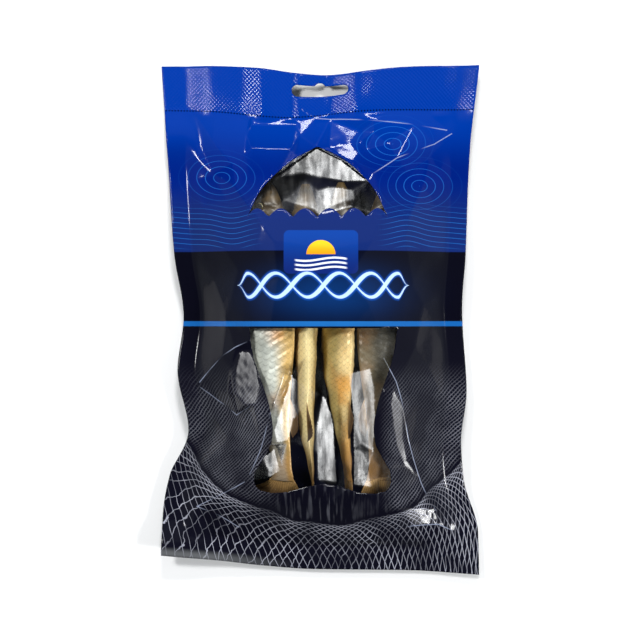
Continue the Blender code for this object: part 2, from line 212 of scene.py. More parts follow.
CRUMPLED = ((-44, 112, 8, 13, 0.24), (-27, 62, 5, 6, 0.16), (-8, 233, 4, 4, 0.14), (10, 213, 6, 4, 0.1),
            (10, 243, 8, 5, 0.2), (-60, 24, 9, 9, 0.3), (66, 30, 8, 8, 0.3))
FACET_PITCH = 21.0
FACET_JITTER = 0.4
FACET_CLEAR = 8.0
FACET_SHARE = 0.9
FACET_SEED = 8
FACET_SWAY = 0.22
RIPPLES = 6
FINE_RISE = 0.05
FINE_PITCH = 9.0
FINE_SEED = 9
CRUMPLE_PITCH = 5.5
CRUMPLE_SEED = 21


def facet_nodes(draw):
    """Corners of the film's facets as (u, v, rise), and the edges that are creased."""
    nodes = []
    edges = []
    for path in CREASES.values():
        numbers = []
        for node in path:
            if node not in nodes:
                nodes.append(node)
            numbers.append(nodes.index(node))
        edges += list(zip(numbers, numbers[1:]))
    outlines = [np.array(path)[:, :2] for path in CREASES.values()]
    for corners, (tilt_u, tilt_v), rise in PANELS.values():
        middle_u, middle_v = np.mean(corners, axis=0)
        level = crown_height(np.array((middle_u,)), np.array((middle_v,)))[0] + rise
        first = len(nodes)
        for u, v in corners:
            plane = level + tilt_u * (u - middle_u) + tilt_v * (v - middle_v)
            nodes.append((u, v, plane - crown_height(np.array((u,)), np.array((v,)))[0]))
        edges += [(first + i, first + (i + 1) % len(corners)) for i in range(len(corners))]
        outlines.append(np.array((*corners, corners[0]), dtype=float))
    half, low, high = WIDTH / 2 - SIDE_WELD, BOTTOM_WELD, LENGTH - HEADER
    rim = even_steps(np.array(((-half, low), (half, low), (half, high), (-half, high))), FACET_PITCH)
    nodes += [(u, v, 0.0) for u, v in rim]
    for row, v in enumerate(np.arange(low + FACET_PITCH / 2, high, FACET_PITCH * ROW_SHARE)):
        for u in np.arange(-half + FACET_PITCH / 2 * (1 + row % 2), half, FACET_PITCH):
            place = np.array((u, v)) + draw.uniform(-FACET_SWAY, FACET_SWAY, 2) * FACET_PITCH
            gap = min(abs(along_path(outline, place[:1], place[1:])[0][0]) for outline in outlines)
            covered = any(inside(np.array(corners), place[:1], place[1:])[0]
                          for corners, tilt, rise in PANELS.values())
            if gap > FACET_CLEAR and not covered and abs(place[0]) < half - FACET_CLEAR:
                nodes.append((place[0], place[1], draw.normal(0.0, FACET_JITTER)))
    return np.array(nodes, dtype=float), edges


def on_facets(u, v, nodes, height, edges):
    """Read the height of the flat facets that span the nodes."""
    found = delaunay_2d_cdt([Vector(n[:2]) for n in nodes], edges, [], 0, SAME_PLACE)
    corners = np.array([tuple(p) for p in found[0]])
    height = np.array([np.mean(height[list(origin)]) if origin else np.nan for origin in found[3]])
    result = np.full(u.shape, np.nan)
    for a, b, c in found[2]:
        (au, av), (bu, bv), (cu, cv) = corners[[a, b, c]]
        area = (bu - au) * (cv - av) - (cu - au) * (bv - av)
        share_b = ((u - au) * (cv - av) - (cu - au) * (v - av)) / area
        share_c = ((bu - au) * (v - av) - (u - au) * (bv - av)) / area
        within = (share_b >= -SLACK) & (share_c >= -SLACK) & (share_b + share_c <= 1 + SLACK)
        plane = height[a] + share_b * (height[b] - height[a]) + share_c * (height[c] - height[a])
        result[within] = plane[within]
    return result


def lay_out(u, v):
    """Move flat film points to their place in plan, drawn in by the filling."""
    draw = np.where(u < 0, smooth_through(LEFT_DRAW, v), smooth_through(RIGHT_DRAW, v))
    x = u - np.sign(u) * draw * smoothstep(*DRAW_RUN, np.abs(u))
    dip_at = TOP_DIP_PLACE - TOP_DIP_SHIFT * smoothstep(0.0, TOP_DIP_SHIFT_REACH, LENGTH - v)
    dip = TOP_DIP * np.exp(-0.5 * ((u - dip_at) / TOP_DIP_SPREAD) ** 2)
    dip = dip * smoothstep(LENGTH - TOP_DIP_REACH, LENGTH, v)
    lift = smooth_through(BOTTOM_DRAW, u) * (1.0 - smoothstep(0.0, BOTTOM_DRAW_REACH, v))
    return x, v - LENGTH / 2 - dip + lift


def header_flute(u):
    """Rise and fall of the header across the pack, summed from its slope."""
    places = np.linspace(-WIDTH / 2, WIDTH / 2, HEADER_SAMPLES)
    rise = np.cumsum(smooth_through(HEADER_SLOPE, places)) * (places[1] - places[0])
    return np.interp(u, places, rise - rise.mean())


def weld_level(u, v):
    """Height of the middle of the film's welded edge."""
    phase = TURN * v / SIDE_WAVE_LENGTH + np.where(u < 0, *SIDE_WAVE_START)
    wave = SIDE_WAVE * np.sin(phase) * smoothstep(*SIDE_WAVE_RUN, np.abs(u))
    wave = wave * (1.0 - smoothstep(*SIDE_WAVE_END, v))
    flute = header_flute(u) * smoothstep(*FLUTE_RUN, v)
    curl = CORNER_CURL * smoothstep(*CORNER_CURL_RUN, -u) * (1.0 - smoothstep(0.0, CORNER_CURL_REACH, v))
    return smooth_through(WELD_LEVEL, v) + wave + flute + curl


def free_of_welds(u, v, side, bottom, top):
    """Ease from 0 on the welds to 1 inside them, over the given runs."""
    from_side = WIDTH / 2 - SIDE_WELD - np.abs(u)
    from_bottom = v - BOTTOM_WELD
    from_top = LENGTH - HEADER - v
    return (smoothstep(0.0, side, from_side) * smoothstep(0.0, bottom, from_bottom)
            * smoothstep(0.0, top, from_top))


def crumple(u, v, seed, pitch):
    """Sum straight-sided ripples in seeded directions, between -1 and 1, as crushed film has."""
    draw = np.random.default_rng(seed)
    total = np.zeros(u.shape)
    for _ in range(RIPPLES):
        angle = draw.uniform(0.0, np.pi)
        length = pitch * draw.uniform(0.6, 1.7)
        bend = draw.uniform(0.1, 0.35)
        along = u * np.cos(angle) + v * np.sin(angle)
        across = v * np.cos(angle) - u * np.sin(angle)
        run = along / length + draw.uniform(0.0, 1.0) + bend * np.sin(across / (1.7 * pitch))
        total += 4.0 * np.abs(run - np.round(run)) - 1.0
    return total / RIPPLES


def crown_height(u, v):
    """Height of the shown sheet before it creases."""
    across = np.clip(np.abs(u) / (WIDTH / 2 - SIDE_WELD), 0.0, 1.0)
    bulge = np.clip(1.0 - across ** CROWN_POWER, 0.0, 1.0) ** CROWN_SHARPNESS
    return weld_level(u, v) + WELD_GAP / 2 + smooth_through(CROWN, v) * bulge


facet_corners, creased = facet_nodes(np.random.default_rng(FACET_SEED))


def film_heights(u, v):
    """Heights of the shown sheet and of the back sheet."""
    level = weld_level(u, v)
    front = crown_height(u, v)
    corner_height = crown_height(facet_corners[:, 0], facet_corners[:, 1]) + facet_corners[:, 2]
    facets = on_facets(u, v, facet_corners, corner_height, creased)
    free = free_of_welds(u, v, *FACET_RUNS) * FACET_SHARE
    front = np.where(np.isnan(facets), front, front + (facets - front) * free)
    small = FINE_RISE * crumple(u, v, FINE_SEED, FINE_PITCH)
    crushed = crumple(u, v, CRUMPLE_SEED, CRUMPLE_PITCH)
    for middle_u, middle_v, reach_u, reach_v, rise in CRUMPLED:
        away = ((u - middle_u) / reach_u) ** 2 + ((v - middle_v) / reach_v) ** 2
        small = small + rise * crushed * np.exp(-away ** 2)
    front = front + small * free_of_welds(u, v, *CRUMPLE_RUNS)
    back = (level - WELD_GAP / 2) * (1.0 - free_of_welds(u, v, *BACK_RUNS))
    return np.maximum(front, back + WELD_GAP), back


# Clear windows, hang slot and the film's facets
# The print leaves a clear window in the shape of a fish standing on its tail, which the printed
# belt splits in two. The hang slot is punched through the header.
FILM_STEP = 1.25
CREASE_WIDTH = 2.2
WINDOW_MIDDLE = 2.0
WINDOW_SIDES = ((139.5, 43.6), (125, 40.6), (110, 34.6), (95, 29.6), (84, 28.0), (76, 28.8),
                (66, 34.5), (58, 39.2), (52, 39.0), (48, 35.5))
TAIL_LOBES = ((46.6, 29.0), (47.5, 20.0), (51.0, 9.0), (53.0, 0.0))
WINDOW_ROWS = 40
HEAD_MIDDLE = -1.5
HEAD_SIDES = ((201, 40.0), (206, 37.5), (215, 33.0), (224, 26.0), (236.5, 13.0), (243.5, 0.0))
HEAD_TIP = 0.4
HEAD_ROWS = 30
SCALLOP = 13.5
SCALLOP_RISE = 5.0
SCALLOP_POINTS = 61
SLOT_LENGTH = 32.0
SLOT_WIDTH = 6.4
SLOT_FROM_TOP = 9.8
HUMP_RADIUS = 3.4
HUMP_RISE = 1.8
HUMP_POINTS = 9
SLOT_END_POINTS = 13
# Folds that get a painted highlight: a pale line along each stands in for the glint of its crease.
GLINT_CREASES = ("left_arc", "left_streak", "window_left", "right_long", "right_foot", "left_foot_high",
        "left_foot_low", "header_crease", "right_swag_high")
# The fold from the slot's end down to the header crease gets the same painted highlight line.
GLINT_FROM_SLOT = ((-12, 269), (-7, 264.5), (-2, 261))


def both_sides(middle, sides, places):
    """Right side of a mirrored outline upwards, then its left side downwards."""
    reach = smooth_through(sides, places)
    return np.concatenate((np.column_stack((middle + reach, places)),
                           np.column_stack((middle - reach, places))[::-1]))


def lower_window():
    """Outline of the body and tail window, in flat film places."""
    sides = np.array(WINDOW_SIDES)[::-1]
    flanks = both_sides(WINDOW_MIDDLE, sides, np.linspace(sides[0, 0], sides[-1, 0], WINDOW_ROWS))
    foot = [(WINDOW_MIDDLE - half, place) for place, half in TAIL_LOBES]
    foot += [(WINDOW_MIDDLE + half, place) for place, half in TAIL_LOBES[-2::-1]]
    return np.concatenate((flanks, np.array(foot)))


def upper_window():
    """Outline of the head window, whose foot is a printed row of scallops."""
    (low, reach), (high, _) = HEAD_SIDES[0], HEAD_SIDES[-1]
    flanks = both_sides(HEAD_MIDDLE, HEAD_SIDES, np.linspace(low, high - HEAD_TIP, HEAD_ROWS))
    across = np.linspace(-reach, reach, SCALLOP_POINTS)[1:-1]
    foot = np.column_stack((HEAD_MIDDLE + across,
                            low + SCALLOP_RISE * np.abs(np.sin(np.pi * across / SCALLOP))))
    return np.concatenate((flanks, foot))


def slot_outline():
    """Flat points round the hang slot, counter-clockwise."""
    middle = LENGTH - SLOT_FROM_TOP
    radius = SLOT_WIDTH / 2
    reach = SLOT_LENGTH / 2 - radius
    points = []
    for end, start in ((reach, -90.0), (-reach, 90.0)):
        if end < 0:
            hump_middle = middle + radius + HUMP_RISE - HUMP_RADIUS
            spread = np.degrees(np.arccos((HUMP_RADIUS - HUMP_RISE) / HUMP_RADIUS))
            for angle in np.radians(np.linspace(90 - spread, 90 + spread, HUMP_POINTS)):
                points.append((HUMP_RADIUS * np.cos(angle), hump_middle + HUMP_RADIUS * np.sin(angle)))
        for angle in np.radians(np.linspace(start, start + 180.0, SLOT_END_POINTS)):
            points.append((end + radius * np.cos(angle), middle + radius * np.sin(angle)))
    return np.array(points)


def add_object(name, data):
    """Put a new object into the scene."""
    added = bpy.data.objects.new(name, data)
    bpy.context.scene.collection.objects.link(added)
    return added


def near(outline, u, v, reach):
    """Tell which points lie within reach of a closed outline."""
    found = np.zeros(u.shape, dtype=bool)
    for au, av in outline:
        found |= np.hypot(u - au, v - av) < reach
    return found


def crease_rows(nodes, creased, step):
    """Even steps along each crease, and points beside it that keep the fold narrow."""
    rows = []
    beside = []
    for a, b in creased:
        start, end = nodes[a, :2], nodes[b, :2]
        count = max(1, round(np.hypot(*(end - start)) / step))
        row = start + np.outer(np.arange(count + 1) / count, end - start)
        across = np.array((start[1] - end[1], end[0] - start[0])) / np.hypot(*(end - start))
        rows.append(row)
        beside += [row[1:-1] + across * CREASE_WIDTH / 2, row[1:-1] - across * CREASE_WIDTH / 2]
    return rows, np.concatenate(beside)


def flat_sheet(step, loops, nodes, creased):
    """Triangulate the flat film with the given loops and creases as edges."""
    corners = np.array(((-WIDTH / 2, 0.0), (WIDTH / 2, 0.0), (WIDTH / 2, LENGTH), (-WIDTH / 2, LENGTH)))
    borders = [even_steps(loop, step) for loop in [corners, *loops]]
    folds, beside = crease_rows(nodes, creased, step)
    row_step = step * ROW_SHARE
    rows = []
    for row in range(1, int(LENGTH / row_step)):
        us = np.arange(-WIDTH / 2 + step / 2 + step / 2 * (row % 2), WIDTH / 2, step)
        rows.append(np.column_stack((us, np.full(len(us), row * row_step))))
    field = np.concatenate(rows)
    crowded = np.zeros(len(field), dtype=bool)
    for row in [*borders, *folds, beside]:
        crowded |= near(row, field[:, 0], field[:, 1], step * 0.5)
    points = np.concatenate((*borders, *folds, beside, field[~crowded]))
    edges = []
    first = 0
    for border in borders:
        edges += [(first + i, first + (i + 1) % len(border)) for i in range(len(border))]
        first += len(border)
    for row in folds:
        edges += [(first + i, first + i + 1) for i in range(len(row) - 1)]
        first += len(row)
    found = delaunay_2d_cdt([Vector(p) for p in points], edges, [], 0, SAME_PLACE)
    return np.array([tuple(p) for p in found[0]]), np.array(found[2])


def crease_glint_distance(u, v):
    """Distance from the nearest fold that gets a painted highlight line in the print, in millimetres."""
    folds = [GLINT_FROM_SLOT] + [[corner[:2] for corner in CREASES[name]] for name in GLINT_CREASES]
    return np.min([np.abs(along_path(fold, u, v)[0]) for fold in folds], axis=0)


def film_piece(name, points, triangles, height, material, thickness):
    """Make a sheet of film from flat triangles and the height at each point."""
    used = np.unique(triangles)
    renumber = np.zeros(len(points), dtype=int)
    renumber[used] = np.arange(len(used))
    x, y = lay_out(points[used, 0], points[used, 1])
    places = np.column_stack((x, y, height[used])) * MM
    mesh = bpy.data.meshes.new(name)
    mesh.from_pydata(places.tolist(), [], renumber[triangles].tolist())
    flat = mesh.uv_layers.new(name="flat")
    corners = points[triangles].reshape(-1, 2)
    square = np.column_stack((corners[:, 0] / LENGTH + 0.5, corners[:, 1] / LENGTH))
    flat.data.foreach_set("uv", square.ravel())
    # Each point keeps its distance to the folds that carry painted highlight lines.
    crease_glint = crease_glint_distance(points[used, 0], points[used, 1])
    mesh.attributes.new("crease_glint", "FLOAT", "POINT").data.foreach_set("value", crease_glint)
    mesh.shade_smooth()
    mesh.materials.append(material)
    piece = add_object(name, mesh)
    solidify = piece.modifiers.new("film", "SOLIDIFY")
    solidify.thickness = thickness * MM
    solidify.offset = -1.0
    return piece


slot_loop = slot_outline()
windows = [lower_window(), upper_window()]
sheet_points, sheet_triangles = flat_sheet(FILM_STEP, [slot_loop, *windows], facet_corners, creased)
sheet_u, sheet_v = sheet_points.T
sheet_front = film_heights(sheet_u, sheet_v)[0]
centre_u, centre_v = sheet_points[sheet_triangles].mean(axis=1).T
in_slot = inside(slot_loop, centre_u, centre_v)
in_window = np.zeros(len(sheet_triangles), dtype=bool)
for window in windows:
    in_window |= inside(window, centre_u, centre_v)


# Printed film of the shown side
# Glossy laminate printed from behind: royal blue above with water rings, a black belt with a soft
# glow, a sun plaque and a twisted rope, and black with a pale fishing net below.
BELT_TOP = 182.4
BELT_FOOT = 143.3
LINE_FOOT = 140.5
GLOW_PLACE = (5.6, 158.5)
GLOW_REACH = (46.0, 17.0)
GLOW_FALL = -1.6
PRINT_BLUR = 0.2
LOWER_BLUE = (196, 226)
UPPER_BLUE = (226, 258)
PLAQUE = (0.5, 181.5, 20.5, 12.0)
PLAQUE_ROUND = 3.0
SUN_RADIUS = 8.0
SUN_RISE = -1.5
WAVE_RISE = -1.6
WAVE_GAP = 2.5
WAVE_PITCH = 5.2
WAVE_SWING = 0.9
WAVE_HALF = (13.0, 15.0)
ROPE_PLACE = (2.0, 163.2)
ROPE_REACH = 52.5
ROPE_PITCH = 35.0
ROPE_SWING = 6.6
RINGS = ((-58.0, 224.0), (60.0, 219.0), (42.0, 243.0))
ROPE_TAPER = 8.0
ROPE_HALO = 1.6
SWELL_PITCH = 2.9
RING_PITCH = 3.3
RING_SQUASH = 0.62
RING_FADE = (6.0, 19.0)
NET_FOOT = (6.0, 28.0, 0.0052)
NET_THREAD = 0.17
NET_GROWTH = 50.0
NET_SPREAD = (4.3, 0.02)
NET_DROP = 3.0
NET_SAG = 10.0
TAUT_PITCH = 2.4
TAUT_SWAY = 5.0
FLANK_RUN = (26.0, 40.0)
HANGING_SHARE, SIDE_SHARE, DRAPE_SHARE = 0.68, 0.24, 0.13
NOISE_WIDE = 100.0
SEAM_RISE = 6.0
SEAM_RUN = (-72.0, -8.0)
CRIMP_PITCH = 2.2
GLOSS_ROUGHNESS = 0.1
FILM_IOR = 1.23
HAZY = ((-44, 111, 11, 19), (46, 84, 8, 25), (51, 27, 9, 8))


class Value:
    """A shader socket that takes part in plain arithmetic."""

    def __init__(self, finish, socket):
        self.finish = finish
        self.socket = socket

    def math(self, operation, *others):
        return self.finish.node("ShaderNodeMath", {"operation": operation}, [self, *others])

    def __add__(self, other):
        return self.math("ADD", other)

    def __sub__(self, other):
        return self.math("SUBTRACT", other)

    def __rsub__(self, other):
        return self.finish.node("ShaderNodeMath", {"operation": "SUBTRACT"}, [other, self])

    def __mul__(self, other):
        return self.math("MULTIPLY", other)

    def __truediv__(self, other):
        return self.math("DIVIDE", other)

    def __rtruediv__(self, other):
        return self.finish.node("ShaderNodeMath", {"operation": "DIVIDE"}, [other, self])

    __radd__ = __add__
    __rmul__ = __mul__

    def __abs__(self):
        return self.math("ABSOLUTE")

    def eased(self, low, high):
        """Ease from 0 where this is low to 1 where it is high."""
        return self.finish.node("ShaderNodeMapRange", {"interpolation_type": "SMOOTHSTEP"},
                                {0: self, 1: low, 2: high})

    def fading(self, low, high):
        """Ease from 1 where this is low to 0 where it is high."""
        return 1.0 - self.eased(low, high)

    def parts(self):
        """Split a place into its three coordinates."""
        split = self.finish.node("ShaderNodeSeparateXYZ", None, [self])
        return [Value(self.finish, output) for output in split.socket.node.outputs]


class Finish:
    """A material, or the world, while its nodes are put together."""

    def __init__(self, name, world=None):
        self.material = world or bpy.data.materials.new(name)
        self.material.use_nodes = True
        self.tree = self.material.node_tree
        self.tree.nodes.clear()

    def node(self, kind, settings=None, inputs=(), output=0):
        """Add a node with its settings, then its inputs, and return one output."""
        made = self.tree.nodes.new(kind)
        for name, value in (settings or {}).items():
            setattr(made, name, value)
        pairs = inputs.items() if isinstance(inputs, dict) else enumerate(inputs)
        for key, value in pairs:
            if isinstance(value, Value):
                self.tree.links.new(value.socket, made.inputs[key])
            else:
                made.inputs[key].default_value = value
        return Value(self, made.outputs[output])

    def mix(self, share, first, second):
        """Blend two colours."""
        return self.node("ShaderNodeMix", {"data_type": "RGBA"}, {0: share, 6: first, 7: second}, 2)

    def noise(self, place, scale, detail=2.0):
        """Soft uneven field between 0 and 1."""
        return self.node("ShaderNodeTexNoise", None, {"Vector": place, "Scale": scale, "Detail": detail})

    def flat(self, u, v, wide, tall):
        """Place on the flat film, in shares of a width and a height."""
        return self.node("ShaderNodeCombineXYZ", None, [u / wide, v / tall])

    def body(self):
        """Place on the piece itself, in metres."""
        return self.node("ShaderNodeTexCoord", None, (), 3)

    def attribute(self, name):
        """Value that the mesh holds for each point."""
        return self.node("ShaderNodeAttribute", {"attribute_name": name}, (), 2)

    def bump(self, strength, distance, height):
        """Fine relief with the given depth in metres."""
        return self.node("ShaderNodeBump", None,
                         {"Strength": strength, "Distance": distance, "Height": height})

    def surface(self, shader, end="ShaderNodeOutputMaterial"):
        """Connect the finished shader and return the material."""
        self.tree.links.new(shader.socket, self.tree.nodes.new(end).inputs["Surface"])
        return self.material

    def solid(self, colour, roughness, **more):
        """Finish an opaque surface and return the material."""
        inputs = {"Base Color": colour, "Roughness": roughness, **more}
        return self.surface(self.node("ShaderNodeBsdfPrincipled", None, inputs))


def ink(red, green, blue):
    """A printed or natural colour from its 0 to 255 screen values, made linear."""
    steps = [level / 255 for level in (red, green, blue)]
    linear = [s / 12.92 if s <= 0.04045 else ((s + 0.055) / 1.055) ** 2.4 for s in steps]
    return (*linear, 1.0)


def flat_places(finish):
    """Return u and v of the flat film, in millimetres."""
    across, up, _ = finish.node("ShaderNodeUVMap", {"uv_map": "flat"}).parts()
    return across * LENGTH - LENGTH / 2, up * LENGTH


def printed_base(finish, u, v):
    """Ground colours of the print: blue down to the belt, black below, with the belt's glow."""
    colour = finish.mix(v.eased(*LOWER_BLUE), ink(18, 38, 100), ink(1, 28, 112))
    colour = finish.mix(v.eased(*UPPER_BLUE), colour, ink(0, 48, 142))
    side, rise = (u - GLOW_PLACE[0]) / GLOW_REACH[0], (v - GLOW_PLACE[1]) / GLOW_REACH[1]
    glow = ((side * side + rise * rise) * GLOW_FALL).math("EXPONENT")
    belt = finish.mix(glow * 0.95, ink(9, 9, 20), ink(10, 46, 100))
    colour = finish.mix(v.eased(BELT_TOP - 0.4, BELT_TOP + 0.3), belt, colour)
    line = finish.mix(glow * 0.5, ink(22, 92, 164), ink(60, 140, 204))
    colour = finish.mix(v.eased(BELT_FOOT - PRINT_BLUR, BELT_FOOT + PRINT_BLUR), line, colour)
    return finish.mix(v.eased(LINE_FOOT - PRINT_BLUR, LINE_FOOT + PRINT_BLUR), ink(13, 13, 24), colour)


def water_rings(finish, u, v):
    """How strongly a thin line of the water rings covers the film."""
    total = 0.0
    for across, up in RINGS:
        side = (u - across) * RING_SQUASH
        reach = (side * side + (v - up) * (v - up)).math("SQRT")
        ring = ((reach / RING_PITCH * TURN).math("COSINE")).eased(0.90, 0.99)
        total = ring * reach.fading(*RING_FADE) + total
    swell = v + (u / 11.0).math("SINE") * 1.8 + (u / 4.7).math("SINE") * 0.5
    lines = ((swell / SWELL_PITCH * TURN).math("COSINE")).eased(0.86, 0.99)
    lines = lines * abs(u).eased(30.0, 46.0) * v.fading(200.0, 212.0)
    return (lines + total) * v.eased(BELT_TOP + 1.0, BELT_TOP + 3.0)


def sun_plaque(finish, u, v, colour):
    """Lay a rounded blue plaque over the colour, with a half sun over three waves."""
    middle_u, middle_v, half_u, half_v = PLAQUE
    side = (abs(u - middle_u) - (half_u - PLAQUE_ROUND)).math("MAXIMUM", 0.0)
    rise = (abs(v - middle_v) - (half_v - PLAQUE_ROUND)).math("MAXIMUM", 0.0)
    corner = (side * side + rise * rise).math("SQRT")
    shape = corner.fading(PLAQUE_ROUND - PRINT_BLUR, PLAQUE_ROUND + PRINT_BLUR)
    plate = finish.mix(v.eased(middle_v - half_v, middle_v + half_v), ink(16, 36, 104), ink(14, 60, 146))
    over = u - middle_u
    up = v - (middle_v + SUN_RISE)
    far = (over * over + up * up).math("SQRT")
    disc = far.fading(SUN_RADIUS - PRINT_BLUR, SUN_RADIUS + PRINT_BLUR) * up.eased(0.0, 2 * PRINT_BLUR)
    sun = finish.mix(up.eased(0.0, SUN_RADIUS), ink(232, 150, 24), ink(246, 196, 40))
    plate = finish.mix(disc, plate, sun)
    swell = (u / WAVE_PITCH).math("SINE") * WAVE_SWING
    for row in (1, 2, 3):
        gap = abs(v - (middle_v + WAVE_RISE - WAVE_GAP * row) - swell)
        wave = gap.fading(0.35, 0.7) * abs(over).fading(*WAVE_HALF)
        plate = finish.mix(wave, plate, ink(226, 232, 246))
    return finish.mix(shape, colour, plate)


def twisted_rope(finish, u, v, colour):
    """Lay a pale rope of two crossing strands over the belt, each thick on its rise, thin on its fall."""
    along = u - ROPE_PLACE[0]
    within = abs(along).fading(ROPE_REACH - ROPE_TAPER, ROPE_REACH)
    turn = along * (TURN / ROPE_PITCH)
    strands = 0.0
    halo = 0.0
    for start in (0.0, np.pi):
        swing = (turn + start).math("SINE") * ROPE_SWING
        slope = (turn + start).math("COSINE") * (ROPE_SWING * TURN / ROPE_PITCH)
        gap = abs(v - ROPE_PLACE[1] - swing * within) / ((slope * slope + 1.0).math("SQRT"))
        width = (slope * 0.36 + 0.8) * within
        strands = (gap - width).fading(-PRINT_BLUR, PRINT_BLUR) + strands
        halo = (gap - width).fading(0.0, ROPE_HALO) * within + halo
    ends = abs(along).fading(ROPE_REACH - 0.6, ROPE_REACH)
    colour = finish.mix(halo.math("MINIMUM", 1.0) * ends * 0.7, colour, ink(24, 84, 186))
    return finish.mix(strands.math("MINIMUM", 1.0) * ends, colour, ink(184, 212, 246))


def fishing_net(finish, u, v):
    """How strongly a thread of the net covers the film, and how bright it is there."""
    flat = finish.flat(u, v, NOISE_WIDE, NOISE_WIDE)
    sway = finish.noise(flat, 9.0, 3.0) - 0.5
    sag = finish.noise(flat, 4.0) - 0.5
    middle, foot, curve = NET_FOOT
    off = u - middle
    over = v - (off * off * curve + foot) + sag * NET_SAG
    below = over * -1.0
    spread = NET_SPREAD[0] - u * NET_SPREAD[1]
    grow = spread.math("LOGARITHM", np.e) * -NET_GROWTH + sway * 0.9
    deep = below.math("MAXIMUM", 0.0)
    drop = (deep / NET_DROP + 1.0).math("LOGARITHM", np.e) * NET_DROP + sway * 0.6
    grow_rate = 1.0 / spread
    drop_rate = NET_DROP / (deep + NET_DROP)
    thread = (grow_rate * grow_rate + drop_rate * drop_rate).math("SQRT") * NET_THREAD
    hanging = 0.0
    side = 0.0
    for way in (1.0, -1.0):
        loose = (grow + drop * way).math("FRACT")
        hanging = (abs(loose - 0.5) / thread).fading(0.6, 1.5) + hanging
        taut = (((u + sway * TAUT_SWAY) - v * way) / TAUT_PITCH).math("FRACT")
        side = abs(taut - 0.5).fading(0.06, 0.22) * (1.0 if way > 0 else 0.35) + side
    hanging = hanging.math("MINIMUM", 1.0) * below.eased(0.0, 1.5)
    flank = abs(off).eased(*FLANK_RUN)
    side = side.math("MINIMUM", 1.0) * flank * v.fading(92.0, 122.0) * over.eased(0.0, 6.0)
    patch = (sag * 3.2 + 0.62).math("MAXIMUM", 0.2).math("MINIMUM", 1.0)
    drape = finish.noise(finish.flat(u, v, 9.0, 90.0), 4.0, 3.0).eased(0.5, 0.66)
    drape = drape * (1.0 - flank) * over.eased(0.0, 3.0) * v.fading(50.0, 62.0)
    return (hanging * HANGING_SHARE + side * SIDE_SHARE + drape * DRAPE_SHARE) * patch


def printed_film():
    """Print and gloss of the shown side."""
    finish = Finish("printed_film")
    u, v = flat_places(finish)
    colour = printed_base(finish, u, v)
    colour = finish.mix(water_rings(finish, u, v) * 0.34, colour, ink(40, 130, 224))
    colour = sun_plaque(finish, u, v, colour)
    colour = twisted_rope(finish, u, v, colour)
    lower = v.fading(LINE_FOOT - 3.0, LINE_FOOT - 1.0)
    colour = finish.mix(fishing_net(finish, u, v) * lower, colour, ink(186, 188, 202))
    seam = (v / SEAM_RISE).fading(0.3, 1.0) * u.fading(*SEAM_RUN)
    colour = finish.mix(seam * 0.6, colour, ink(112, 114, 116))
    header = v.eased(LENGTH - HEADER - 0.5, LENGTH - HEADER + 0.5)
    crimp = (u * (TURN / CRIMP_PITCH)).math("SINE") * (v * (TURN / CRIMP_PITCH)).math("SINE")
    flat = finish.flat(u, v, NOISE_WIDE, NOISE_WIDE)
    soft = finish.noise(flat, 22.0)
    # Painted highlight: pale blue-grey lines along the listed folds, broken up by noise, stand in for crease
    # glints.
    crease_glint = finish.attribute("crease_glint").fading(0.08, 0.42) * finish.noise(flat, 6.0, 1.0).eased(0.34, 0.56)
    colour = finish.mix(crease_glint * 0.55, colour, ink(170, 180, 206))
    hazy = 0.0
    for across, up, wide, tall in HAZY:
        side, rise = (u - across) / wide, (v - up) / tall
        hazy = (side * side + rise * rise).math("SQRT").fading(0.6, 1.1) + hazy
    bump = finish.bump(1.0, 0.00002, crimp * header * 2.2 + soft * 2.0)
    return finish.solid(colour, GLOSS_ROUGHNESS + header * 0.02 + hazy * 0.18, IOR=FILM_IOR, Normal=bump)


front_film = film_piece("printed_film", sheet_points, sheet_triangles[~(in_slot | in_window)],
                        sheet_front, printed_film(), 0.1)
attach(front_film, "root")


# Clear film in the windows
# The laminate's unprinted inner layer. It runs on behind the print for a few millimetres.
WINDOW_LAP = 3.0
LAYER = 0.16
CLEAR_IOR = 1.25
CLEAR_ROUGHNESS = 0.2
CLEAR_TINT = (0.97, 0.98, 0.98, 1.0)


def clear_film():
    """Clear film: see-through, with a thin gloss on top that is hazy in streaks."""
    finish = Finish("clear_film")
    u, v = flat_places(finish)
    soft = finish.noise(finish.flat(u, v, NOISE_WIDE, NOISE_WIDE), 13.0)
    haze = finish.noise(finish.flat(u, v, 22.0, 110.0), 6.0, 4.0)
    bump = finish.bump(1.0, 0.001, soft * (0.28 + v.fading(52.0, 66.0) * 0.3))
    gloss = finish.node("ShaderNodeBsdfGlossy", None, {"Roughness": CLEAR_ROUGHNESS, "Normal": bump})
    through = finish.node("ShaderNodeBsdfTransparent", None, {"Color": CLEAR_TINT})
    edge = finish.node("ShaderNodeFresnel", None, {"IOR": CLEAR_IOR}) * (haze.eased(0.32, 0.68) * 1.1 + 0.32)
    dull = u.eased(10.0, 18.0) * v.eased(66.0, 78.0) * v.fading(118.0, 126.0)
    share = edge * (1.0 - dull * 0.5) + finish.attribute("crease_glint").fading(0.1, 0.4) * 0.3
    shader = finish.node("ShaderNodeMixShader", None, [share, through, gloss])
    return finish.surface(shader)


near_window = np.zeros(len(sheet_points), dtype=bool)
for window in windows:
    outline = even_steps(window, FILM_STEP)
    near_window |= inside(window, sheet_u, sheet_v) | near(outline, sheet_u, sheet_v, WINDOW_LAP)
window_film = film_piece("window_film", sheet_points,
                         sheet_triangles[near_window[sheet_triangles].all(axis=1)],
                         sheet_front - LAYER, clear_film(), 0.05)
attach(window_film, "root")


# Back film
# The plain printed sheet of the hidden side, flat where the filled pack rests on it.
BACK_STEP = 3.0


def back_print():
    """Plain navy film."""
    return Finish("back_print").solid(ink(16, 18, 36), 0.2, IOR=1.4)


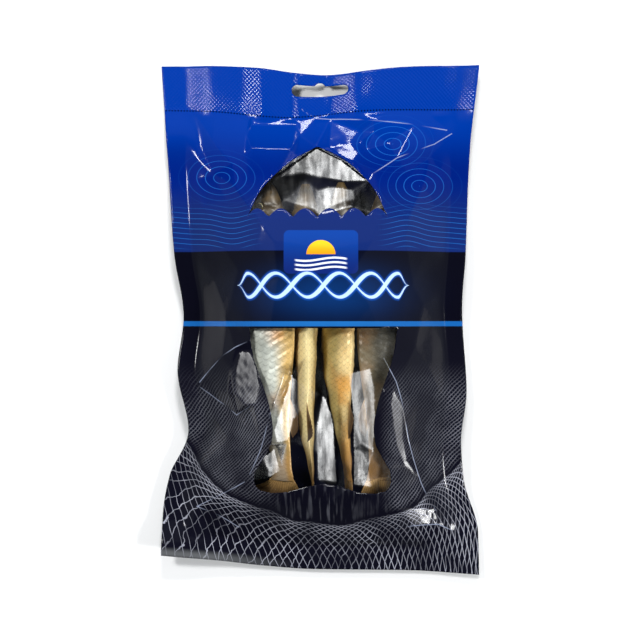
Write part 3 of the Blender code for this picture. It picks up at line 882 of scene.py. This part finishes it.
back_points, back_triangles = flat_sheet(BACK_STEP, [slot_loop], facet_corners, creased)
back_centre = back_points[back_triangles].mean(axis=1)
back_triangles = back_triangles[~inside(slot_loop, back_centre[:, 0], back_centre[:, 1])]
back_height = film_heights(back_points[:, 0], back_points[:, 1])[1]
back_film = film_piece("back_film", back_points, back_triangles[:, ::-1], back_height, back_print(), 0.1)
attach(back_film, "root")
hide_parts("pouch")
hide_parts("pouch")
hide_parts("pouch")


# Tear line under the header
# A row of short cuts, pricked right across both sheets under the crimped header so that it
# tears off straight. Each cut is drawn as a small disc of painted shade laid just over the shown film.
TEAR_PLACE = LENGTH - HEADER - 0.4
TEAR_PITCH = 1.7
TEAR_RADIUS = 0.45
TEAR_PROUD = 0.14
TEAR_SIDES = 8
TEAR_INSET = 1.0
TEAR_POINTS = 240


def tear_nodes(material):
    """Geometry Nodes that set a small dark disc of painted shade at even steps along a path."""
    tree = bpy.data.node_groups.new("tear_line", "GeometryNodeTree")
    face = tree.interface
    face.new_socket("Path", in_out="INPUT", socket_type="NodeSocketGeometry")
    for name in ("Pitch", "Radius"):
        face.new_socket(name, in_out="INPUT", socket_type="NodeSocketFloat")
    face.new_socket("Cuts", in_out="OUTPUT", socket_type="NodeSocketGeometry")
    start, curve, steps, disc, lay, real, paint, end = (tree.nodes.new(kind) for kind in (
        "NodeGroupInput", "GeometryNodeMeshToCurve", "GeometryNodeResampleCurve", "GeometryNodeMeshCircle",
        "GeometryNodeInstanceOnPoints", "GeometryNodeRealizeInstances", "GeometryNodeSetMaterial",
        "NodeGroupOutput"))
    steps.mode = "LENGTH"
    disc.fill_type = "NGON"
    disc.inputs["Vertices"].default_value = TEAR_SIDES
    paint.inputs["Material"].default_value = material
    for source, output, target, entry in (
            (start, "Path", curve, "Mesh"), (curve, "Curve", steps, "Curve"),
            (start, "Pitch", steps, "Length"), (start, "Radius", disc, "Radius"),
            (steps, "Curve", lay, "Points"), (disc, "Mesh", lay, "Instance"),
            (lay, "Instances", real, "Geometry"), (real, "Geometry", paint, "Geometry"),
            (paint, "Geometry", end, "Cuts")):
        tree.links.new(source.outputs[output], target.inputs[entry])
    return tree


def cut_shade():
    """Painted shade: the dark look of the pricked film's shadowed cuts, laid on as discs."""
    finish = Finish("cut_shade")
    # Painted shade: mottled near-black navy in place of the shadow inside each cut.
    colour = finish.mix(finish.noise(finish.body(), 1500.0), ink(0, 4, 26), ink(2, 12, 58))
    return finish.solid(colour, 0.8, IOR=1.05)


tear_u = np.linspace(-WIDTH / 2 + TEAR_INSET, WIDTH / 2 - TEAR_INSET, TEAR_POINTS)
tear_v = np.full(tear_u.shape, TEAR_PLACE)
tear_x, tear_y = lay_out(tear_u, tear_v)
tear_z = film_heights(tear_u, tear_v)[0] + TEAR_PROUD
tear_path = np.column_stack((tear_x, tear_y, tear_z)) * MM
path_mesh = bpy.data.meshes.new("tear_path")
path_mesh.from_pydata(tear_path.tolist(), [(i, i + 1) for i in range(len(tear_path) - 1)], [])
path = add_object("tear_path", path_mesh)
cutter = path.modifiers.new("cuts", "NODES")
cutter.node_group = tear_nodes(cut_shade())
inputs = {item.name: item.identifier for item in cutter.node_group.interface.items_tree
          if item.in_out == "INPUT"}
cutter[inputs["Pitch"]] = TEAR_PITCH * MM
cutter[inputs["Radius"]] = TEAR_RADIUS * MM
cuts = bpy.data.meshes.new_from_object(path.evaluated_get(bpy.context.evaluated_depsgraph_get()))
bpy.data.objects.remove(path)
tear_line = add_object("tear_line", cuts)
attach(tear_line, "root")
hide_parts("pouch")


# The dried roach
# Four whole roach, salted and dried: flat lens-shaped bodies under small scales, with ribs that
# show through the sunken belly and brittle brown fins. They lie side by side, tails down the pack.
BACK_LINE = ((0, 0.05), (0.02, 0.13), (0.05, 0.21), (0.12, 0.32), (0.22, 0.42), (0.36, 0.50), (0.5, 0.47),
             (0.7, 0.31), (0.86, 0.18), (0.94, 0.16), (1.0, 0.19))
BELLY_LINE = ((0, 0.05), (0.02, 0.12), (0.05, 0.19), (0.12, 0.30), (0.24, 0.40), (0.38, 0.47), (0.5, 0.46),
              (0.62, 0.38), (0.74, 0.26), (0.86, 0.18), (0.94, 0.16), (1.0, 0.19))
FLANK_LINE = ((0, 0.26), (0.03, 0.50), (0.10, 0.80), (0.22, 1.0), (0.38, 0.88), (0.55, 0.72),
              (0.75, 0.46), (0.88, 0.28), (1.0, 0.12))
SPINE_STEP = 0.01
SKIN_STEP = 0.75
SKIN_PATCH = 250.0
BACK_SIDE = 0.4
SCALE_LONG = 3.0
SCALE_WIDE = 2.3
SCALE_RISE = 0.14
HEAD_SHARE = 0.225
EYE_AT = 0.085
EYE_DEPTH = -0.10
EYE_RADIUS = 3.3
EYE_ROUND = 20
EYE_ROWS = 8
GILL_AT = 0.155
GILL_REACH = (0.07, 0.36)
MOUTH_DROP = (0.03, 0.25)
RIB_PITCH = 4.4
RIB_RISE = 0.22
UNEVEN = 0.5
UNEVEN_PITCH = 22.0
UNEVEN_WAVES = 6
TAIL_SHARE = 1.2
FIN_THICK = 0.14
FIN_ROWS = 9
FIN_PLEAT = 0.35
FIN_NOTCH = 0.05
FIN_CURL = 1.5
RAYS_PER_PATCH = 20


class Roach:
    """One fish: its spine from snout to tail, the way its belly faces, and its mesh so far."""

    def __init__(self, across, along, height, facing, deep, thick, tail_spread, seed):
        self.across, self.along, self.height, self.facing = across, along, height, facing
        self.deep, self.thick, self.tail_spread = deep, thick, tail_spread
        self.long = abs(along[0][1] - along[1][1])
        self.draw = np.random.default_rng(seed)
        self.places, self.faces, self.finish, self.skin, self.belly = [], [], [], [], []

    def spine(self, share):
        return np.stack([smooth_through(line, share) for line in (self.across, self.along, self.height)],
                        axis=-1)

    def place(self, share, depth, side):
        """Turn a share of the length, a depth towards the belly and a side step into a place."""
        middle = self.spine(share)
        forward = self.spine(share + SPINE_STEP) - self.spine(share - SPINE_STEP)
        forward /= np.linalg.norm(forward, axis=-1, keepdims=True)
        facing = np.radians(smooth_through(self.facing, share))
        belly = np.stack((np.cos(facing), np.zeros_like(facing), np.sin(facing)), axis=-1)
        belly -= forward * np.sum(belly * forward, axis=-1, keepdims=True)
        belly /= np.linalg.norm(belly, axis=-1, keepdims=True)
        flank = np.cross(forward, belly)
        return middle + belly * np.asarray(depth)[..., None] + flank * np.asarray(side)[..., None]

    def add_grid(self, places, skin, belly, finish, closed):
        """Add a grid of places as quads, with its skin map and how near the belly each one is."""
        rows, columns = places.shape[:2]
        first = len(self.places)
        self.places += places.reshape(-1, 3).tolist()
        self.skin += skin.reshape(-1, 2).tolist()
        self.belly += belly.ravel().tolist()
        for row in range(rows - 1):
            for column in range(columns - (0 if closed else 1)):
                after = (column + 1) % columns
                self.faces.append((first + row * columns + column, first + row * columns + after,
                                   first + (row + 1) * columns + after,
                                   first + (row + 1) * columns + column))
                self.finish.append(finish)
        return first


def scale_place(along, around):
    """Share of the way across a scale towards its free edge, for scales in staggered rows."""
    row = np.floor(around / SCALE_WIDE)
    middle = around / SCALE_WIDE - row - 0.5
    return (along / SCALE_LONG + 0.5 * (row % 2) + 1.5 * middle ** 2) % 1.0


def unevenness(draw, along, depth):
    """Soft seeded unevenness over a body, between about -1 and 1."""
    total = np.zeros(along.shape)
    for _ in range(UNEVEN_WAVES):
        angle = draw.uniform(0.0, np.pi)
        length = UNEVEN_PITCH * draw.uniform(0.6, 1.6)
        total += np.sin(TURN * (along * np.cos(angle) + depth * np.sin(angle)) / length
                        + draw.uniform(0.0, TURN))
    return total / np.sqrt(UNEVEN_WAVES)


def add_body(fish):
    """Loft the body from snout to tail root, with head, eye sockets, ribs and scales in relief."""
    rows = round(fish.long / SKIN_STEP)
    columns = 2 * round(fish.deep * 1.15 / SKIN_STEP)
    share = np.linspace(0.0, 1.0, rows)[:, None] * np.ones(columns)
    turn = (np.arange(columns) / columns * TURN)[None, :] * np.ones((rows, 1))
    lean = np.cos(turn)
    reach = np.where(lean > 0, smooth_through(BELLY_LINE, share), smooth_through(BACK_LINE, share))
    depth = fish.deep * reach * np.sign(lean) * np.abs(lean) ** 0.92
    side = fish.thick / 2 * smooth_through(FLANK_LINE, share) * np.sign(np.sin(turn)) * np.abs(
        np.sin(turn)) ** 1.25
    along = share * fish.long
    around = np.abs(np.where(turn > np.pi, turn - TURN, turn)) / np.pi * fish.deep * reach * 2
    flank = np.abs(np.sin(turn)) ** 0.5
    belly = np.clip(lean * 0.5 + 0.5, 0.0, 1.0)
    body = smoothstep(HEAD_SHARE, HEAD_SHARE + 0.03, share)
    lift = SCALE_RISE * scale_place(along, around) * body * flank
    ribs = RIB_RISE * np.sin(TURN * (along + 0.6 * depth) / RIB_PITCH)
    lift += ribs * body * (1.0 - smoothstep(0.5, 0.66, share)) * flank * smoothstep(0.2, 0.5, belly)
    lift += UNEVEN * unevenness(fish.draw, along, depth) * flank * smoothstep(0.0, 0.1, share)
    lift -= 0.9 * np.exp(-(((share - 0.42) / 0.12) ** 2 + ((belly - 0.72) / 0.16) ** 2)) * flank
    plate = np.hypot((share - GILL_AT) / GILL_REACH[0], (depth - 1.0) / (GILL_REACH[1] * fish.deep))
    lift += 0.8 * (1.0 - smoothstep(0.86, 1.0, plate)) * flank
    lift -= 0.5 * np.exp(-((plate - 1.06) / 0.05) ** 2) * flank
    from_eye = np.hypot(along - EYE_AT * fish.long, depth - EYE_DEPTH * fish.deep)
    lift += 0.5 * np.exp(-((from_eye - EYE_RADIUS * 1.15) / 0.7) ** 2) * flank
    lift -= 1.3 * (1.0 - smoothstep(0.5, 1.0, from_eye / EYE_RADIUS)) * flank
    mouth = np.exp(-((depth - MOUTH_DROP[0] * fish.deep - MOUTH_DROP[1] * along) / 0.8) ** 2)
    lift -= 0.7 * mouth * (1.0 - smoothstep(0.03, 0.05, share)) * flank
    side = side + lift * np.sign(np.sin(turn))
    skin = np.stack((along / SKIN_PATCH, around / SKIN_PATCH + BACK_SIDE * (np.sin(turn) < 0)), axis=-1)
    first = fish.add_grid(fish.place(share, depth, side), skin, belly, 0, True)
    last = first + (rows - 1) * columns
    fish.faces += [tuple(range(first + columns - 1, first - 1, -1)), tuple(range(last, last + columns))]
    fish.finish += [0, 0]


def add_eye(fish, way):
    """Set a dull shrunken eye into its socket."""
    turn, drop = np.meshgrid(np.linspace(0, TURN, EYE_ROUND + 1)[:-1], np.linspace(0.06, 1.0, EYE_ROWS))
    radius = EYE_RADIUS * 0.86 * np.sin(drop * np.pi / 2)
    share = EYE_AT + radius * np.cos(turn) / fish.long
    depth = EYE_DEPTH * fish.deep + radius * np.sin(turn)
    seat = fish.thick / 2 * smooth_through(FLANK_LINE, np.full(share.shape, EYE_AT)) - 1.7
    side = way * (seat + 1.0 * np.cos(drop * np.pi / 2))
    places = fish.place(share, depth, side)
    if way < 0:
        places = places[:, ::-1]
    skin = np.stack((drop, turn / 10), axis=-1)
    fish.add_grid(places, skin, np.zeros(share.shape), 2, True)


def add_fin(fish, root, sweep, tall, rays, side, lean):
    """Fan a rayed fin out of its root, laid back towards the tail and pleated between its rays."""
    (start, start_depth), (end, end_depth) = root
    ray, out = np.meshgrid(np.linspace(0, 1, 2 * rays + 1), np.linspace(0, 1, FIN_ROWS))
    angle = np.radians(sweep[0] + (sweep[1] - sweep[0]) * ray)
    length = smooth_through(tall, ray)
    between = np.arange(2 * rays + 1) % 2
    edge = 1.0 - FIN_NOTCH * between
    way = np.sign(start_depth) if start_depth else 1.0
    share = start + (end - start) * ray + out * length * edge * np.cos(angle) / fish.long
    depth = start_depth + (end_depth - start_depth) * ray + way * out * length * edge * np.sin(angle)
    pleat = FIN_PLEAT * (1 - 2 * between) * (0.3 + out)
    curl = fish.draw.uniform(-FIN_CURL, FIN_CURL) * out ** 2 * np.sin(np.pi * ray + fish.draw.uniform(0, 3))
    where = side + lean * out * length + pleat + curl
    top = fish.place(share, depth, where + FIN_THICK)
    low = fish.place(share, depth, where - FIN_THICK)
    loop = np.concatenate((top, low[:, ::-1]), axis=1)
    skin = np.stack((np.concatenate((ray, ray[:, ::-1]), axis=1) * rays / RAYS_PER_PATCH,
                     np.concatenate((out, out), axis=1)), axis=-1)
    first = fish.add_grid(loop, skin, skin[..., 1], 1, True)
    columns = loop.shape[1]
    last = first + (loop.shape[0] - 1) * columns
    half = columns // 2
    for base, turned in ((first, False), (last, True)):
        for column in range(half - 1):
            quad = (base + column, base + columns - 1 - column, base + columns - 2 - column,
                    base + column + 1)
            fish.faces.append(quad[::-1] if turned else quad)
            fish.finish.append(1)


def add_fins(fish):
    """Add the tail fin, the fins of back and belly, and the paired fins."""
    deep, long = fish.deep, fish.long
    tail = TAIL_SHARE - 1.0
    for way in (1, -1):
        add_fin(fish, ((0.985, way * 0.01), (0.985, way * deep * 0.17)), (0, fish.tail_spread),
                ((0, tail * long * 0.6), (1, tail * long)), 8, 0.0, 0.0)
    add_fin(fish, ((0.46, -deep * 0.455), (0.575, -deep * 0.40)), (11, 5),
            ((0, 17.0), (0.3, 19.0), (1, 8.0)), 9, 0.0, 0.04)
    add_fin(fish, ((0.68, deep * 0.30), (0.79, deep * 0.22)), (16, 8),
            ((0, 12.0), (0.3, 13.0), (1, 6.0)), 9, 0.0, -0.05)
    for way in (1, -1):
        add_fin(fish, ((0.36, deep * 0.42), (0.385, deep * 0.43)), (2, 10),
                ((0, 15.0), (1, 11.0)), 7, way * 1.2, way * 0.02)
        add_fin(fish, ((0.245, deep * 0.24), (0.25, deep * 0.31)), (-4, 20),
                ((0, 17.0), (1, 11.0)), 8, way * fish.thick * 0.44, way * 0.02)


def roach_skin(name, back, flank, belly, stain, stain_share):
    """Dry scaled skin: dark back, silvery flank, creamy belly, and amber stains of dried oil."""
    finish = Finish(name)
    along, around, _ = finish.node("ShaderNodeUVMap", {"uv_map": "skin"}).parts()
    along, around = along * SKIN_PATCH, around * SKIN_PATCH
    near_belly = finish.attribute("belly")
    body = finish.body()
    blotch = finish.noise(body, 90.0, 5.0)
    broad = finish.noise(body, 34.0, 3.0)
    fine = finish.noise(body, 900.0, 3.0)
    row_place = (around + (blotch - 0.5) * 1.2) / SCALE_WIDE
    row = row_place.math("FLOOR")
    middle = row_place - row - 0.5
    step = (along + (broad - 0.5) * 2.0) / SCALE_LONG + row.math("MODULO", 2.0) * 0.5
    reach = (step + middle * middle * 1.5).math("FRACT")
    on_body = along.eased(34.0, 40.0)
    rim = reach.eased(0.72, 0.97) * on_body
    tone = near_belly + (broad - 0.5) * 0.34
    colour = finish.mix(tone.eased(0.10, 0.42), ink(*back), ink(*flank))
    colour = finish.mix(tone.eased(0.62, 0.9), colour, ink(*belly))
    colour = finish.mix(broad.eased(0.5, 0.68) * near_belly.eased(0.35, 0.8) * stain_share, colour,
                        ink(*stain))
    colour = finish.mix(rim * 0.4 + blotch.fading(0.35, 0.6) * 0.14, colour,
                        finish.mix(0.62, colour, ink(40, 34, 24)))
    colour = finish.mix(fine.eased(0.55, 0.75) * 0.1, colour, ink(226, 222, 206))
    colour = finish.mix(along.eased(128.0, 158.0) * (broad + 0.2), colour, ink(150, 108, 58))
    head = finish.mix(blotch.eased(0.35, 0.65), ink(46, 35, 22), ink(98, 78, 48))
    colour = finish.mix(along.fading(28.0, 48.0), colour, head)
    bump = finish.bump(0.6, 0.0003, reach * on_body * 0.6 + fine * 0.25 + blotch * 0.8)
    return finish.solid(colour, 0.38 + rim * 0.25, Metallic=0.12, Normal=bump)


def fin_skin():
    """Brittle amber membrane with darker rays."""
    finish = Finish("fin_skin")
    ray, out, _ = finish.node("ShaderNodeUVMap", {"uv_map": "skin"}).parts()
    ray = (ray * RAYS_PER_PATCH * TURN).math("COSINE").eased(0.2, 0.9)
    blotch = finish.noise(finish.body(), 160.0, 4.0)
    colour = finish.mix((out + blotch * 0.4).eased(0.2, 0.9), ink(196, 152, 92), ink(92, 66, 38))
    colour = finish.mix(ray * 0.45, colour, ink(70, 48, 26))
    return finish.solid(colour, 0.45, Normal=finish.bump(0.5, 0.0002, ray))


def eye_skin():
    """Clouded eye: dark pupil in a pale brassy ring."""
    finish = Finish("eye_skin")
    out = finish.node("ShaderNodeUVMap", {"uv_map": "skin"}).parts()[0]
    colour = finish.mix(out.eased(0.4, 0.55), ink(22, 20, 18), ink(176, 160, 110))
    colour = finish.mix(out.eased(0.8, 1.0), colour, ink(60, 50, 34))
    return finish.solid(colour, 0.3)


def roach_piece(name, fish, skin, fin, eye):
    """Make the mesh of one whole fish."""
    add_body(fish)
    for way in (1, -1):
        add_eye(fish, way)
    add_fins(fish)
    mesh = bpy.data.meshes.new(name)
    mesh.from_pydata((np.array(fish.places) * MM).tolist(), [], fish.faces)
    for material in (skin, fin, eye):
        mesh.materials.append(material)
    mesh.polygons.foreach_set("material_index", fish.finish)
    used = np.zeros(len(mesh.loops), dtype=int)
    mesh.loops.foreach_get("vertex_index", used)
    mesh.uv_layers.new(name="skin").data.foreach_set("uv", np.array(fish.skin)[used].ravel())
    mesh.attributes.new("belly", "FLOAT", "POINT").data.foreach_set("value", fish.belly)
    mesh.shade_smooth()
    piece = add_object(name, mesh)
    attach(piece, "root")
    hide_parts("pouch")


fin_finish, eye_finish = fin_skin(), eye_skin()
roach_piece("roach_left",
            Roach(((0, -29), (0.5, -29.5), (1, -21), (1.2, -26)), ((0, 77), (1, -90), (1.2, -109)),
                  ((0, 15), (0.12, 19.5), (0.3, 25), (0.6, 26.5), (1, 17.5), (1.2, 10)),
                  ((0, 26), (0.5, 24), (1, 20), (1.2, 12)), 36.5, 13.0, 31, 5),
            roach_skin("silver_skin", (150, 150, 136), (212, 212, 200), (226, 184, 112), (214, 138, 56), 0.8),
            fin_finish, eye_finish)
roach_piece("roach_middle_left",
            Roach(((0, -8), (0.35, -8), (0.7, -8), (1, -4), (1.2, -3)), ((0, 76), (1, -91), (1.2, -110)),
                  ((0, 19), (0.5, 19.5), (1, 17), (1.2, 9)), ((0, 90), (0.5, 86), (1, 86), (1.2, 88)),
                  33.5, 16.5, 3, 8),
            roach_skin("cream_skin", (138, 112, 66), (240, 208, 140), (252, 226, 162), (232, 146, 54), 0.9),
            fin_finish, eye_finish)
roach_piece("roach_middle_right",
            Roach(((0, 12), (0.5, 10), (0.75, 12), (1, 16), (1.2, 17)), ((0, 77), (1, -90), (1.2, -109)),
                  ((0, 16.5), (0.12, 18), (0.5, 19.5), (1, 17), (1.2, 11)),
                  ((0, 66), (0.5, 60), (1, 72), (1.2, 76)), 34.0, 15.5, 4, 12),
            roach_skin("olive_skin", (128, 114, 70), (196, 176, 114), (248, 214, 148), (236, 166, 70), 0.8),
            fin_finish, eye_finish)
roach_piece("roach_right",
            Roach(((0, 38), (0.5, 37.5), (1, 33), (1.2, 35)), ((0, 76), (1, -90), (1.2, -109)),
                  ((0, 14.5), (0.12, 17), (0.3, 21), (0.6, 22.5), (1, 17), (1.2, 12)),
                  ((0, 172), (0.5, 168), (1, 172), (1.2, 176)),
                  37.5, 12.0, 20, 21),
            roach_skin("brown_skin", (50, 44, 34), (80, 74, 62), (122, 108, 84), (140, 92, 44), 0.5),
            fin_finish, eye_finish)


# Floor, lights and camera
# The pack lies on a pale floor. Soft boxes stand round it, with none straight above, so that
# level film stays deep in colour and tilted film shines. The camera looks straight down.
FLOOR_SIZE = 6.0
FLOOR_DROP = 0.0003
FRAME_PIXELS = 640
PIXEL = 0.5644
FRAME_WIDTH = FRAME_PIXELS * PIXEL * MM
LENS = 120.0
SENSOR = 36.0
CAMERA_LIFT = 0.008
LAMP_RADIANCE = 72.0
SCREEN_GLOW = 0.45
LOW_GLOW = 0.34
LEAST_GLOW = 0.01


def floor_paper():
    """Pale matt paper."""
    return Finish("floor_paper").solid((0.92, 0.92, 0.92, 1.0), 0.9)


def soft_box(name, place, size):
    """Hang a rectangular light that faces the pack."""
    lamp = bpy.data.lights.new(name, "AREA")
    lamp.shape = "RECTANGLE"
    lamp.size, lamp.size_y = size
    lamp.energy = LAMP_RADIANCE * np.pi * size[0] * size[1]
    box = add_object(name, lamp)
    box.location = place
    box.rotation_euler = (-Vector(place)).to_track_quat("-Z", "Y").to_euler()
    box.visible_camera = False


half = FLOOR_SIZE / 2
floor_mesh = bpy.data.meshes.new("floor")
floor_mesh.from_pydata([(-half, -half, -FLOOR_DROP), (half, -half, -FLOOR_DROP),
                        (half, half, -FLOOR_DROP), (-half, half, -FLOOR_DROP)], [], [(0, 1, 2, 3)])
floor_mesh.materials.append(floor_paper())
floor = add_object("floor", floor_mesh)

soft_box("top_box", (0.05, 0.9, 0.85), (0.24, 0.18))
soft_box("left_box", (-0.588, 0.336, 0.941), (0.17, 0.2))
soft_box("right_box", (0.82, -0.38, 0.76), (0.18, 0.22))


def studio():
    """Dim white screens to the left, to the right and beyond the header, dark straight above."""
    finish = Finish("studio", bpy.data.worlds.new("studio"))
    x, y, z = finish.node("ShaderNodeTexCoord").parts()
    level = abs(y).fading(0.35, 0.5)
    left = (0.0 - x).eased(0.28, 0.42) * level
    right = x.eased(0.28, 0.42) * level
    top = y.eased(0.3, 0.45) * y.fading(0.75, 0.88) * abs(x).fading(0.35, 0.5)
    low = (1.0 - z).eased(0.72, 0.98)
    glow = (left + right + top) * SCREEN_GLOW + low * LOW_GLOW + LEAST_GLOW
    back = finish.node("ShaderNodeBackground", None, {"Color": (0.86, 0.94, 1.0, 1.0), "Strength": glow})
    return finish.surface(back, "ShaderNodeOutputWorld")


bpy.context.scene.world = studio()
bpy.context.scene.view_settings.view_transform = "Standard"

camera_data = bpy.data.cameras.new("camera")
camera_data.lens = LENS
camera_data.sensor_width = SENSOR
camera = add_object("camera", camera_data)
camera.location = (0.0, 0.0, LENS / SENSOR * FRAME_WIDTH + CAMERA_LIFT)
bpy.context.scene.camera = camera
